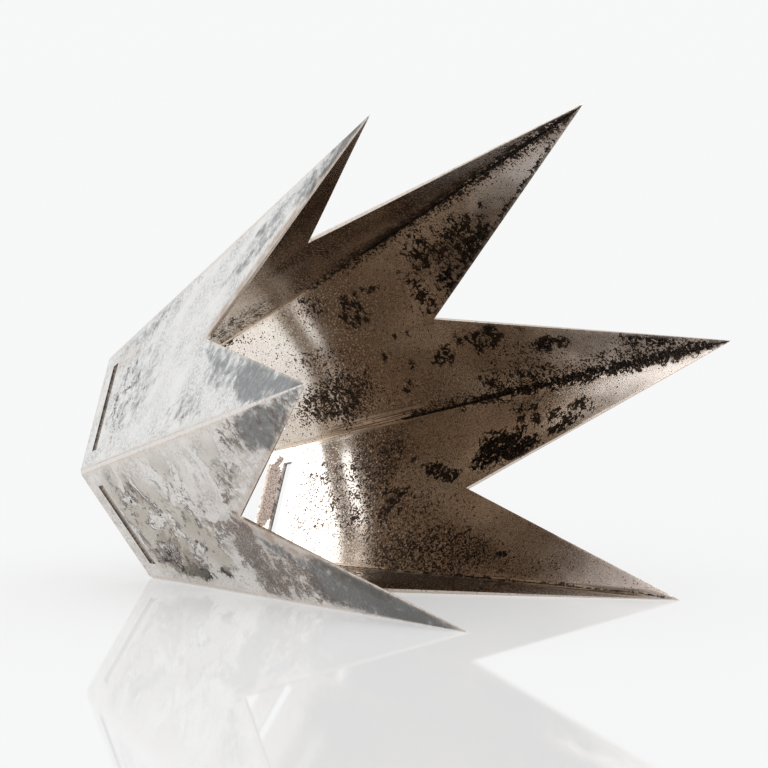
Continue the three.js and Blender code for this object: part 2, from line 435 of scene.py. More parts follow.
INNER_MARKS = {
    "panel_rear_lower": {
        "speck": [
            (45, -14, 18, 7, -6, 1.0), (30, -6, 5, 10, 20, 0.75), (28, 6, 5, 8, 15, 0.9),
            (23, 11, 4, 4, 15, 0.7), (68, -18, 10, 4, -8, 0.6), (38, -4, 8, 5, -15, 0.7),
            (50, -5, 6, 3.5, -25, 0.5), (14, 0, 8, 10, 0, 0.62), (23, -1, 6, 12, 15, 0.72),
            (38, 5, 10, 7, 0, 0.5), (60, 17, 8, 3, 8, 0.5),
        ],
        "worm": [
            (43, 4, 6, 2.2, -8, 1.1), (35.5, 6.5, 1.4, 1, 0, 0.9), (35.5, 0.5, 3, 1.4, -20, 0.7),
            (32, -3, 4, 6, 20, 0.7), (29, 7, 3, 5, 0, 0.5), (62, 15.5, 7, 3, 10, 0.85),
            (57, 8.5, 8, 5, 15, 0.9), (70, 14, 6, 2.6, 25, 0.85), (47, -3.5, 2.4, 0.8, -20, 0.6),
            (13, 5, 6, 5, 0, 0.42), (13, -6, 6, 4, 0, 0.42), (23, 0, 7, 12, 15, 0.5),
            (45, -12, 16, 6, -8, 0.4), ("ridge", 1, 44, 96, 2.6, 0.8), ("ridge", -1, 48, 80, 1.4, 0.7),
        ],
        "black": [
            (58, 8.6, 7.5, 3.8, 12, 0.8), (53, 6, 3.4, 2, 10, 0.75), (68, 12, 3, 1.8, 25, 0.66),
            (61.5, -16, 2, 0.8, 0, 0.85), ("ridge", 1, 42, 60, 0.8, 0.9), ("ridge", 1, 56, 104, 1.2, 0.9),
        ],
        # On the spikes, partly painted shade; the ridge band at 78-104 mm is painted shade over a highlight
        "dark": [
            (68, -14, 20, 9, -12, 0.72), (90, -21.5, 15, 5, -12, 0.5), (75, 14, 12, 4, 22, 0.6),
            (58, 14, 8, 6, 10, 0.2), ("ridge", 1, 78, 104, 2.6, 0.5),
        ],
        "rust": [(1.8, 2, 3.4, 8, 0, 1.5)],
        # Copper at (86, 22) and clean at (83, 20.8) are a painted pinkish highlight on the spike
        "copper": [(43, 10, 12, 5, 8, 0.4), (62, 13, 10, 5, 20, 0.5), (86, 22, 15, 3, 14, 0.45)],
        "clean_and_highlight": [(83, 20.8, 14, 2.4, 14, 0.5), (12, 0, 16, 18, 14, 0.8), (41, 3, 8, 7, 0, 0.6)],
        "filed": [("ridge", 1, 12, 42, 1.6, 0.9), ("ridge", -1, 16, 96, 1.4, 0.8)],
    },
    "panel_rear_upper": {
        "speck": [
            (20, -8, 12, 6, -4, 1.15), (22, 1, 8, 4.5, 10, 0.65), (27, 12, 3.5, 3.5, 0, 0.6),
            (9, 11.5, 6, 1.2, 7, 0.7), (62, -14, 10, 5, -15, 0.7), (60, 12, 9, 6, 20, 0.8),
            (86, -20.5, 9, 3, -12, 0.8), ("ridge", -1, 36, 62, 3.4, 0.85), ("ridge", -1, 50, 100, 5, 0.95),
            ("ridge", 1, 36, 104, 3.2, 0.85),
        ],
        "worm": [
            (19, -8, 9, 4.5, -4, 0.72), (25, -4, 5, 4, 0, 0.6), (20, 4, 7, 3, 0, 0.42),
            (27, 12.5, 3, 3, 0, 0.6), (34.5, 7.5, 4.4, 3.2, 30, 0.85), (40.5, 10.8, 3.6, 1, 0, 0.85),
            (36, -9, 1.8, 1.1, 0, 0.85), (34.5, -3.2, 1.4, 0.6, 0, 0.8), (41.5, -0.3, 2.4, 0.9, 10, 0.85),
            (39.5, -6.5, 1.2, 1.2, 0, 0.7), (46, -7.5, 4.4, 2.4, -10, 0.72), (53, -15, 3, 3, 0, 0.7),
            (51.5, -6.5, 3, 2, 0, 0.75), (57, -8, 5.5, 2, -15, 0.95), (64.5, -8.5, 1, 1, 0, 0.9),
            (49.5, 5.5, 3.2, 6.5, 10, 0.8), (57, 13.5, 5.5, 5, 20, 0.8), (65, 14, 6.5, 5, 15, 0.85),
            (69, -13, 4, 2.4, -25, 0.9), (62, -17, 6, 2.2, -8, 0.7), (79, -20, 8, 3, -10, 0.45),
            ("ridge", -1, 32, 62, 2.2, 0.85), ("ridge", 1, 28, 104, 1.9, 0.8),
        ],
        "black": [
            (58, -6.8, 3.4, 0.7, -14, 0.85), (68, -12.5, 3, 1.5, -25, 0.75), (66, 10.5, 6, 3, 26, 0.8),
            (58, 6.5, 5, 1.4, 26, 0.7), (71.7, 18, 1.4, 1, 0, 1.0), (89, -20, 7, 2.4, -16, 0.75),
            (6, 11.6, 2.4, 0.7, 7, 0.9), ("ridge", -1, 30, 54, 0.8, 0.85),
            ("ridge", -1, 48, 104, 1.9, 0.85), ("ridge", 1, 72, 104, 1.2, 0.5), ("v", 1, 54, 94, 1.2, 0.75),
        ],
        # On the spikes these are partly painted shade, for the dark reflection there
        "dark": [
            (68, 12, 18, 7, 22, 0.85), (60, -11, 13, 6, -16, 0.65), (90, -21, 13, 5, -13, 0.7),
            (76, -15, 10, 5, -22, 0.7), (98, 25, 8, 3, 12, 0.6), (8, -9, 14, 5, -8, 0.25),
            (14, -1, 9, 7, 0, 0.2), (12, 7, 9, 5, 0, 0.12), (62, -8, 10, 4, -22, 0.4),
        ],
        "copper": [(58, -12, 9, 4, -10, 0.35), (70, 10, 12, 3, 26, 0.4), ("ridge", -1, 12, 34, 1.8, 0.9)],
        # The clean mark at (81, 19) is a painted pale pink highlight on the spike
        "clean_and_highlight": [(81, 19, 8.5, 2.4, 22, 0.6), (10, 4, 14, 12, 0, 0.7)],
        "filed": [
            ("ridge", -1, 15, 37, 3.2, 1.0), ("ridge", -1, 3, 18, 1.2, 0.7), ("ridge", 1, 4, 44, 1.0, 0.7),
        ],
    },
    "panel_top": {
        "speck": [(18, -9, 13, 5, -10, 0.75), (55, 6, 7, 3, 20, 0.4), ("ridge", -1, 36, 104, 6, 0.95)],
        "worm": [(14, -9, 9, 4, -10, 0.6), ("ridge", -1, 48, 104, 4, 0.8)],
        "black": [(9, -8, 3, 1.5, 40, 0.5), ("ridge", -1, 44, 104, 1.3, 0.95)],
        "dark": [(78, -18, 26, 6, -12, 0.6), (76, 17, 26, 8, 16, 0.75)],
        "copper": [(62, -13, 14, 4, -12, 0.5), ("ridge", -1, 5, 30, 2.5, 0.7)],
    },
    "panel_base": {
        "speck": [(46, 10, 40, 14, 6, 0.85), (46, -12, 34, 8, -6, 0.5)],
        "worm": [(50, 15, 30, 8, 8, 0.6)],
        "black": [("ridge", 1, 50, 100, 0.7, 0.6)],
        "dark": [(74, 16, 24, 10, 10, 0.1), (80, -18, 24, 9, -12, 0.3)],
        "copper": [(46, 12, 44, 8, 8, 0.4)],
        "clean_and_highlight": [(90, 23, 14, 1.4, 8, 0.4), (48, 14, 44, 9, 8, 0.6)],
        "filed": [("ridge", 1, 8, 96, 2.4, 0.9)],
    },
    "panel_front_upper": {
        "speck": [(36, -10, 18, 8, -8, 0.7), (24, 6, 12, 7, 10, 0.6), (66, 16, 14, 4, 12, 0.7)],
        "worm": [(36, -8, 8, 3, -20, 0.7), (58, 12, 6, 3, 20, 0.7)],
        "black": [("ridge", -1, 46, 104, 1.2, 0.8)],
        "dark": [(74, -17, 28, 8, -12, 0.7), (74, 17, 28, 8, 14, 0.7)],
    },
    "panel_front_lower": {
        "speck": [(30, 8, 20, 7, 6, 0.8), (26, -7, 10, 6, 0, 0.6), (68, -17, 14, 4, -10, 0.6)],
        "worm": [(30, -5, 7, 3, 10, 0.7), (60, 14, 8, 3, 10, 0.7)],
        "black": [("ridge", -1, 50, 100, 1.0, 0.7)],
        "dark": [(72, -17, 28, 8, -12, 0.7), (72, 17, 28, 8, 14, 0.7)],
    },
}

OUTER_MARKS = {
    "panel_front_upper": {
        "worm": [(14, 1, 9, 9, 0, 0.34), (20, 2, 5, 3, 0, 0.3), (30, -14, 18, 2, -8, 0.25)],
        "grey": [
            (80, 18, 15, 6, 26, 0.95), (95, 24, 13, 3.5, 20, 1.0), (62, 10, 9, 5, 34, 0.72),
            (56, 4, 8, 2, 26, 0.7), (88, -22, 15, 4, -14, 0.75), (64, -15, 13, 4, -16, 0.6),
            (98, -25.5, 9, 2.5, -16, 0.95), (48, 14, 9, 4, 20, 0.5), (18, 0, 13, 10, 0, 0.42),
            (20, -13, 18, 2.4, -8, 0.5),
        ],
        "rust": [(49, 16.5, 3, 1, 10, 0.55)],
        "copper": [("v", -1, 49, 100, 2.0, 0.9), (104, 27, 8, 2, 14, 0.8), (9, -9, 8, 3, 0, 0.25)],
        "clean_and_highlight": [(32, 4, 14, 8, 0, 0.6), (38, -8, 9, 5, 0, 0.6)],
    },
    "panel_front_lower": {
        "worm": [(15, 8, 9, 4, 10, 0.45), (16, -1, 11, 11, 0, 0.34)],
        "black": [
            (11, 8.6, 5, 0.9, 4, 1.1), (20, 11.6, 6, 1.3, 16, 1.1), (31, 12.4, 3.4, 0.9, 4, 0.9),
            (11, -2, 4, 0.5, -50, 0.9), (29, -1.5, 3, 0.6, -45, 0.8), (29, 5.5, 4.5, 0.4, 30, 0.9),
            (20.5, 3, 0.6, 4, 8, 0.8),
        ],
        "dark": [
            (50, 0, 60, 30, 0, 0.12), (30, 2, 14, 10, 0, 0.12), (48, 8, 10, 12, 0, 0.35),
            (66, 17, 8, 4, 18, 0.4), (84, 20, 22, 6, 20, 0.6), (78, -19, 12, 5, -18, 0.35),
        ],
        "rust": [
            (16, 9, 11, 4, 10, 0.9), (18, 6, 5, 5, 20, 0.75), (47, 7, 5.5, 9, 15, 1.0),
            (42, 2, 4, 3, 40, 0.8), (47, 15, 6, 4, 0, 0.85), (56, 14, 9, 6, 12, 0.74),
            (38, 3, 4, 3, 0, 0.8), (34, 11, 4, 1.4, 0, 0.75), (54, -9, 6, 4, -20, 0.6),
            (50, -5, 2.4, 1.2, 0, 0.8), (66, -17, 8, 4, -18, 0.62), (60, 18, 9, 2.4, 14, 0.62),
            (17, -6.5, 4.4, 2.6, 0, 0.6), (32, -5, 10, 5, 0, 0.35), (36, 12, 4, 3, 0, 0.3),
            (88, -22, 14, 4, -14, 0.5),
        ],
        "grey": [
            (82, 21, 20, 6.5, 17, 1.05), (66, 16.5, 6, 4.5, 14, 1.1), (68, 14, 9, 5, 22, 0.95),
            (57, 8, 8, 1.8, 26, 0.8), (76, -18.5, 9, 4, -18, 1.0), (84, -21, 9, 3, -14, 0.9),
            (46, 12, 4, 4, 10, 0.6), (96, -25.5, 10, 2, -14, 0.7), (30, -2, 3.4, 1, -30, 0.6),
        ],
        "crack": [
            (16, 0, 15, 14, 0, 0.95), (32, 3, 9, 9, 0, 0.95), (56, -12, 14, 8, -10, 0.5),
            (30, -11, 10, 4, 0, 0.6),
        ],
        "copper": [
            (55, 0, 90, 50, 0, 0.2), ("v", 1, 46, 84, 2.8, 1.0), ("v", -1, 46, 92, 1.2, 0.8),
            (54, 13, 8, 6, 10, 0.35),
        ],
        "clean_and_highlight": [
            (28, 6, 6, 6, 0, 0.85), (37, 14, 5, 3.4, 8, 0.8), (28, -8, 12, 7, -8, 0.7),
            (42, -12, 9, 5, -8, 0.6),
        ],
    },
}

# For the outer faces that the photo doesn't show
PLAIN_OUTER = {
    "worm": [(18, 4, 10, 8, 0, 0.4)],
    "rust": [(46, 7, 5, 5, 10, 0.5), (18, -6, 8, 4, 0, 0.4), (62, -14, 9, 4, -16, 0.45)],
    "grey": [(84, 20, 20, 5, 20, 0.85), (84, -20, 20, 5, -20, 0.75), (60, 9, 8, 5, 26, 0.6)],
    "crack": [(18, 0, 14, 10, 0, 0.6), (40, -8, 10, 6, 0, 0.5)],
    "copper": [("v", 1, 49, 90, 1.0, 0.7), ("v", -1, 49, 90, 1.0, 0.7)],
    "clean_and_highlight": [(30, 6, 10, 8, 0, 0.6)],
}


PLAIN_SHIFT = 7  # in mm, the most that a mark moves up or down its panel


def plain_outer(number):
    """The marks of one of the other outer faces: mirrored and moved from panel to panel."""
    hand = 1 if number % 2 else -1
    varied = {}
    for kind, marks in PLAIN_OUTER.items():
        varied[kind] = []
        for i, mark in enumerate(marks):
            if mark[0] == "v":
                line, side_on, *rest = mark
                moved = (line, hand * side_on, *rest)
            else:
                up, side, length, width, turn, amount = mark
                shift = PLAIN_SHIFT * math.sin(5 * number + 2 * i)
                fainter = amount - 0.02 * abs(shift)
                moved = (up + shift, hand * side - 0.3 * shift, length, width, hand * turn, fainter)
            varied[kind].append(moved)
    return varied


def outer_marks(number):
    return OUTER_MARKS.get(PANELS[number]) or plain_outer(number)


# ---- Tarnish: painting it on the meshes ----

WANDER_STEPS = ((9 * MM, 2.4 * MM), (3 * MM, 1.3 * MM))  # wavelength and reach
WANDER_SEED = 3.1  # times a panel's number
SECOND_NOISE = Vector((31.7, 0, 0))  # far enough away to be another noise
MARK_MARGIN = (0.5, 1.3)  # where a mark starts to fade and where it ends, as shares of its size
BAND_FADE = 3  # in mm, at the two ends of a band
LAYER_START = 0.2  # of the number that sets one sheet's noise apart from the next one's
LAYER_STEP = 0.37
SEAM_NUMBERS = 20  # keeps the seams' noise apart from the panels'
CUT_FACING = (0.45, 0.85)  # how far along the sheet's normal the cut faces and the skins look
SLOT_REACH = (0.6, 0.53)  # of the slot's walls from its middle, as shares of its width and its length
# How far down the slot walls the dark reaches: grime, and painted shade in the narrow slot
SLOT_DIRT_AND_SHADE_DEPTH = (0.5 * SHEET, 0.8 * SHEET)
RUBBED_WIDTH = 0.8 * MM  # along the rim and the V
CREST_WIDTH = (0.25 * MM, 0.62 * MM)  # rubbed bright, and where the rubbing ends
CREST_AMOUNT = 1.4
SEAM_INSIDE = 0.55  # share of the sheet's thickness beyond which a seam's surface is inside
SEAM_READS = 0.4 * MM  # beside the ridge line, where a seam takes its panels' marks


def wander(up, side, seed):
    """Moves points about by a millimetre or two, so that no mark keeps a regular outline."""
    shift = np.zeros((len(up), 2))
    for wave, reach in WANDER_STEPS:
        for i, (u, s) in enumerate(zip(up, side)):
            place = Vector((u / wave, s / wave, seed))
            shift[i, 0] += reach * noise.noise(place)
            shift[i, 1] += reach * noise.noise(place + SECOND_NOISE)
    return up + shift[:, 0], side + shift[:, 1]


def band_fade(mark, up, side):
    """How strongly each point lies in a band along a ridge or along the V."""
    line, hand, low, high, width, _ = mark
    if line == "ridge":
        away = (half_width(up, 0) - hand * side) * math.cos(FLARE)
    else:
        away = v_distance(up, side)
    height = up / MM
    start = smoothstep(low - BAND_FADE, low + BAND_FADE, height)
    end = 1 - smoothstep(high - BAND_FADE, high + BAND_FADE, height)
    return (1 - smoothstep(*MARK_MARGIN, away / MM / width)) * (start * end) * (hand * side > 0)


def ellipse_fade(mark, up, side):
    """How strongly each point lies in an ellipse."""
    centre_up, centre_side, length, width, turn, _ = mark
    angle = math.radians(turn)
    rise, run = up / MM - centre_up, side / MM - centre_side
    along = rise * math.cos(angle) + run * math.sin(angle)
    across = run * math.cos(angle) - rise * math.sin(angle)
    return 1 - smoothstep(*MARK_MARGIN, np.hypot(along / length, across / width))


def mark_amount(marks, up, side, shifted=None):
    """The strongest of the marks at each point. Ellipses are read at the shifted points, bands aren't."""
    total = np.zeros_like(up)
    for mark in marks:
        if mark[0] in ("ridge", "v"):
            fade = band_fade(mark, up, side)
        else:
            fade = ellipse_fade(mark, *(shifted or (up, side)))
        total = np.maximum(total, mark[-1] * fade)
    return total


def write_layer(mesh, name, values):
    layer = mesh.attributes.new(name, "FLOAT", "POINT")
    layer.data.foreach_set("value", np.asarray(values, np.float32))


def vertex_vectors(values, name):
    flat = np.empty(len(values) * 3, np.float32)
    values.foreach_get(name, flat)
    return flat.reshape(-1, 3).astype(float)


def write_plane(mesh, up, side, number):
    """A flat map for the noise and the polish lines: side and up from the rim, and the sheet's own number."""
    layout = mesh.uv_layers.new(name="panel")
    corners = np.empty(len(mesh.loops), np.int32)
    mesh.loops.foreach_get("vertex_index", corners)
    plane = np.stack([side[corners], up[corners]], -1)
    layout.data.foreach_set("uv", plane.astype(np.float32).ravel())
    write_layer(mesh, "sheet", np.full(len(up), LAYER_STEP * number + LAYER_START))


def paint_panel(piece, number):
    """Writes the tarnish layers of one panel, from its marks and its edges."""
    mesh = piece.data
    space = PanelSpace(number)
    offset = vertex_vectors(mesh.vertices, "co") - space.corner
    up, side = offset @ space.slope, offset @ space.sideways
    facing = vertex_vectors(mesh.vertex_normals, "vector") @ space.normal
    shifted = wander(up, side, WANDER_SEED * number)
    inner, outer = INNER_MARKS[PANELS[number]], outer_marks(number)
    for kind in MARK_KINDS:
        inside = mark_amount(inner.get(kind, []), up, side, shifted)
        outside = mark_amount(outer.get(kind, []), up, side, shifted)
        write_layer(mesh, kind, np.where(facing < 0, inside, outside))
    cut = 1 - smoothstep(*CUT_FACING, abs(facing))
    near_slot = abs(up - SLOT_OFFSET) < SLOT_REACH[0] * SLOT_WIDTH
    in_slot = near_slot & (abs(side) < SLOT_REACH[1] * SLOT_LENGTH)
    # Dark near the outer face of the slot walls: grime, and painted shade in the narrow slot
    dirty_and_shaded = 1 - smoothstep(*SLOT_DIRT_AND_SHADE_DEPTH, -(offset @ space.normal))
    to_edge = np.minimum(up, abs(v_distance(up, side)))
    write_layer(mesh, "inner", facing < 0)
    write_layer(mesh, "slot_wall_dirt_and_shade", cut * in_slot * dirty_and_shaded)
    write_layer(mesh, "cut", cut * ~in_slot)
    write_layer(mesh, "edge", 1 - smoothstep(0.0, RUBBED_WIDTH, to_edge))
    write_layer(mesh, "ridge_way", half_width(up, 0) - abs(side))
    write_layer(mesh, "ridge_along", up)
    write_plane(mesh, up, side, number)


def paint_seam(piece, number):
    """Writes the tarnish layers of one seam. It shares the marks of the two panels that it joins."""
    mesh = piece.data
    outward, sideways = around(2 * HALF_STEP * number + HALF_STEP)
    offset = vertex_vectors(mesh.vertices, "co") - RIM_CENTRE
    along_axis = offset @ AXIS
    up = along_axis / math.cos(LEAN)
    radius = NARROW_RADIUS + (WIDE_RADIUS - NARROW_RADIUS) * along_axis / HEIGHT
    inner = radius - offset @ outward > SEAM_INSIDE * SHEET * thinning(up)
    pair = number, (number + 1) % SIDES
    inner_pair = [INNER_MARKS[PANELS[i]] for i in pair]
    outer_pair = [outer_marks(i) for i in pair]
    ridge = half_width(up, SEAM_READS)
    for kind in MARK_KINDS:
        inside, outside = (
            np.maximum(
                mark_amount(before.get(kind, []), up, ridge),
                mark_amount(after.get(kind, []), up, -ridge),
            )
            for before, after in (inner_pair, outer_pair)
        )
        write_layer(mesh, kind, np.where(inner, inside, outside))
    across = offset @ sideways
    worn = CREST_AMOUNT * (1 - smoothstep(*CREST_WIDTH, abs(across)))
    write_layer(mesh, "inner", inner)
    write_layer(mesh, "slot_wall_dirt_and_shade", np.zeros_like(up))
    write_layer(mesh, "cut", np.zeros_like(up))
    write_layer(mesh, "edge", np.where(inner, 0.0, worn))
    write_layer(mesh, "ridge_way", across)
    write_layer(mesh, "ridge_along", up)
    write_plane(mesh, up, across, number + SEAM_NUMBERS)


# ---- Materials ----


class Graph:
    """Short names for building a node tree."""

    def __init__(self, tree):
        self.tree = tree

    def node(self, kind, **settings):
        made = self.tree.nodes.new("ShaderNode" + kind)
        for key, value in settings.items():
            setattr(made, key, value)
        return made

    def feed(self, socket, value):
        if isinstance(value, bpy.types.NodeSocket):
            self.tree.links.new(value, socket)
        elif isinstance(value, tuple) and len(value) == 3 and socket.type == "RGBA":
            socket.default_value = (*value, 1)
        else:
            socket.default_value = value

    def calc(self, operation, *values):
        made = self.node("Math", operation=operation)
        for socket, value in zip(made.inputs, values):
            self.feed(socket, value)
        return made.outputs[0]

    def times(self, *values):
        result = values[0]
        for value in values[1:]:
            result = self.calc("MULTIPLY", result, value)
        return result

    def most(self, *values):
        result = values[0]
        for value in values[1:]:
            result = self.calc("MAXIMUM", result, value)
        return result

    def add_scaled(self, value, share, base):
        return self.calc("MULTIPLY_ADD", value, share, base)

    def from_half(self, value):
        """A noise, moved so that it lies about zero."""
        return self.calc("SUBTRACT", value, 0.5)

    def layer(self, name):
        return self.node("Attribute", attribute_name=name).outputs["Fac"]

    def plane(self, stretch=1.0, turn=0.0):
        """Panel coordinates for noise, drawn out along a direction turned from straight up."""
        plane = self.node("UVMap", uv_map="panel").outputs[0]
        turned = self.node("Mapping")
        turned.inputs["Rotation"].default_value = (0, 0, math.radians(turn))
        self.feed(turned.inputs["Vector"], plane)
        drawn = self.node("Mapping")
        drawn.inputs["Scale"].default_value = (1, 1 / stretch, 1)
        self.feed(drawn.inputs["Vector"], turned.outputs[0])
        lift = self.node("CombineXYZ")
        self.feed(lift.inputs["Z"], self.layer("sheet"))
        total = self.node("VectorMath", operation="ADD")
        self.feed(total.inputs[0], drawn.outputs[0])
        self.feed(total.inputs[1], lift.outputs[0])
        return total.outputs[0]

    def noise(self, where, scale, detail=2.0, rough=0.5, distortion=0.0):
        made = self.node("TexNoise")
        self.feed(made.inputs["Vector"], where)
        names = ("Scale", "Detail", "Roughness", "Distortion")
        for name, value in zip(names, (scale, detail, rough, distortion)):
            made.inputs[name].default_value = value
        return made.outputs["Fac"]

    def band(self, value, low, high):
        """0 below low, 1 above high, smooth between."""
        made = self.node("MapRange", interpolation_type="SMOOTHSTEP")
        self.feed(made.inputs["Value"], value)
        self.feed(made.inputs["From Min"], low)
        self.feed(made.inputs["From Max"], high)
        return made.outputs["Result"]

    def torn_mask(self, noise, layer, reach, low, high):
        """A layer with its edge broken up by a noise, and nothing where the layer is zero."""
        broken = self.add_scaled(self.from_half(noise), reach, layer)
        return self.times(self.band(broken, low, high), self.band(layer, 0.03, 0.2))

    def mix(self, share, a, b):
        made = self.node("Mix", data_type="RGBA")
        self.feed(made.inputs["Factor"], share)
        self.feed(made.inputs[6], a)
        self.feed(made.inputs[7], b)
        return made.outputs[2]

    def blend(self, share, a, b):
        made = self.node("Mix", data_type="FLOAT")
        self.feed(made.inputs["Factor"], share)
        self.feed(made.inputs[2], a)
        self.feed(made.inputs[3], b)
        return made.outputs[0]


# Metal and films
# Bright metal, also used for the painted highlights of a few "clean" marks
CLEAN_AND_HIGHLIGHT = (0.86, 0.85, 0.83)
CREAM = (0.84, 0.805, 0.765)
STONE = (0.42, 0.425, 0.43)
SAND = (0.44, 0.375, 0.315)
FILM_TAN = (0.68, 0.608, 0.53)
FILM_BROWN = (0.63, 0.532, 0.45)
FILM_GREY = (0.66, 0.595, 0.565)
# Also the colour of the "dark" layer, which on the spikes is partly painted shade
FILM_DARK_AND_SHADE = (0.13, 0.10, 0.085)
COPPER = (0.60, 0.46, 0.345)
COPPER_OUTSIDE = (0.44, 0.33, 0.26)
GOLD = (0.90, 0.735, 0.57)
GOLD_DIM = (0.32, 0.225, 0.145)
SOLDER = (0.84, 0.65, 0.47)
SOLDER_DARK = (0.12, 0.085, 0.055)
BARE_EDGE = (0.68, 0.60, 0.52)
BARE_RIDGE = (0.84, 0.80, 0.77)

# Tarnish and grime, with the painted shade of the slot walls
SMOKE = (0.15, 0.162, 0.168)
OLIVE = (0.068, 0.073, 0.069)
RUST = (0.09, 0.06, 0.047)
RUST_PALE = (0.17, 0.12, 0.096)
HALO = (0.34, 0.245, 0.165)
PIT = (0.036, 0.021, 0.013)
CRUST = (0.014, 0.012, 0.011)
CRUMB = (0.12, 0.085, 0.06)
FLAKE = (0.42, 0.375, 0.305)
CRACK = (0.075, 0.065, 0.054)
# Dark brown of the slot walls: grime, and painted shade in the narrow slot
SLOT_DIRT_AND_SHADE = (0.045, 0.03, 0.024)

ROUGH_DIRT = 0.5
BUMP_STRENGTH = 0.3
BUMP_DISTANCE = 0.05 * MM
ANISOTROPY = 0.85


class Patterns:
    """The noises and the broad masks that the parts of the tarnish share."""

    def __init__(self, g):
        self.flat = g.plane()
        self.streaked = g.plane(1.5, -24)
        self.inner = g.layer("inner")
        self.drift = g.noise(self.flat, 70, 3, 0.55)
        self.cloud = g.noise(self.flat, 240, 4, 0.6)
        self.torn = g.noise(self.flat, 520, 6, 0.7, 0.5)
        self.grain = g.noise(self.flat, 2900, 3, 0.65)
        self.mottle = g.noise(self.streaked, 1900, 5, 0.75)
        self.hairline = g.noise(g.plane(14, 3), 5200, 2, 0.6)
        self.tinted = g.band(g.layer("copper"), 0.08, 0.3)
        self.spike_end = g.times(self.inner, g.band(g.layer("ridge_along"), 62 * MM, 90 * MM))
        crumb = g.band(g.noise(self.flat, 2400, 2), 0.56, 0.62)
        self.crumbs = g.times(self.inner, crumb, g.blend(self.spike_end, 1.0, 0.15))


def inner_film(g, p):
    """A tan to brown film with a dark grain and golden crumbs, greyer at the ends of the spikes."""
    film = g.mix(g.band(p.drift, 0.36, 0.64), FILM_TAN, FILM_BROWN)
    film = g.mix(g.times(g.band(p.cloud, 0.46, 0.72), 0.3), film, CLEAN_AND_HIGHLIGHT)
    film = g.mix(g.times(g.band(p.grain, 0.46, 0.62), 0.26), film, FILM_DARK_AND_SHADE)
    film = g.mix(g.times(p.spike_end, 0.8), film, FILM_GREY)
    return g.mix(g.times(p.crumbs, 0.8), film, GOLD)


def outer_metal(g, p):
    """Clean metal mottled with stone grey, or cream with sand where it is tinted."""
    broad = g.noise(p.streaked, 200, 5, 0.66)
    stone = g.mix(p.tinted, STONE, g.mix(g.band(p.cloud, 0.4, 0.6), STONE, SAND))
    bright = g.mix(p.tinted, CLEAN_AND_HIGHLIGHT, CREAM)
    return g.mix(g.times(g.band(p.mottle, 0.40, 0.64), g.band(broad, 0.34, 0.66)), bright, stone)


def bare_metal(g, p):
    """The metal of both sides, with warm tints, polish lines, rubbed places and a few painted highlights."""
    metal = g.mix(p.inner, outer_metal(g, p), inner_film(g, p))
    warm = g.times(g.layer("copper"), g.blend(g.band(p.cloud, 0.38, 0.6), 0.4, 0.95))
    metal = g.mix(warm, metal, g.mix(p.inner, COPPER_OUTSIDE, COPPER))
    metal = g.mix(g.times(g.band(p.hairline, 0.5, 0.75), 0.1), metal, FILM_DARK_AND_SHADE)
    return g.mix(g.times(g.layer("clean_and_highlight"), g.band(p.grain, 0.34, 0.56), 0.75), metal, CLEAN_AND_HIGHLIGHT)


# Each of these lays one kind of tarnish or wear over a colour. Some also return where it lies.


# The "dark" layer: a heavy brown film, on the spikes partly painted shade for their dark reflection
def add_heavy_film_and_shade(g, p, colour):
    amount = g.times(g.layer("dark"), g.blend(g.band(p.cloud, 0.35, 0.65), 0.75, 1.0))
    golden = g.times(p.inner, g.band(p.grain, 0.5, 0.62), 0.8)
    return g.mix(amount, colour, g.mix(golden, FILM_DARK_AND_SHADE, GOLD_DIM))


def add_solder(g, p, colour):
    """Golden solder along the creases, filed in lines beside the ridge."""
    beside = g.node("CombineXYZ")
    g.feed(beside.inputs["X"], g.layer("ridge_way"))
    g.feed(beside.inputs["Y"], g.times(g.layer("ridge_along"), 0.02))
    lines = g.noise(beside.outputs[0], 2600, 2, 0.6)
    solder = g.mix(g.band(lines, 0.44, 0.58), SOLDER, SOLDER_DARK)
    return g.mix(g.times(g.layer("filed"), g.band(p.torn, 0.3, 0.42)), colour, solder)


def add_bloom(g, p, colour):
    """A smoky bloom, drawn out in wisps."""
    wisp = g.noise(p.streaked, 560, 5, 0.68)
    thinner = g.blend(g.band(p.mottle, 0.36, 0.64), 1.0, 0.72)
    bloom = g.times(g.torn_mask(wisp, g.layer("grey"), 2.4, 0.25, 1.0), thinner)
    smoke = g.mix(p.tinted, SMOKE, OLIVE)
    return g.mix(g.times(bloom, 0.92), colour, smoke), bloom


def add_rust(g, p, colour):
    """Ragged brown-grey patches, thicker inside than outside."""
    thinnest = g.blend(p.inner, 0.5, 0.82)
    thinner = g.blend(g.band(p.grain, 0.4, 0.58), 1.0, thinnest)
    rust = g.times(g.torn_mask(p.torn, g.layer("rust"), 4.0, 0.4, 0.75), thinner)
    return g.mix(rust, colour, g.mix(g.band(p.mottle, 0.4, 0.6), RUST, RUST_PALE)), rust


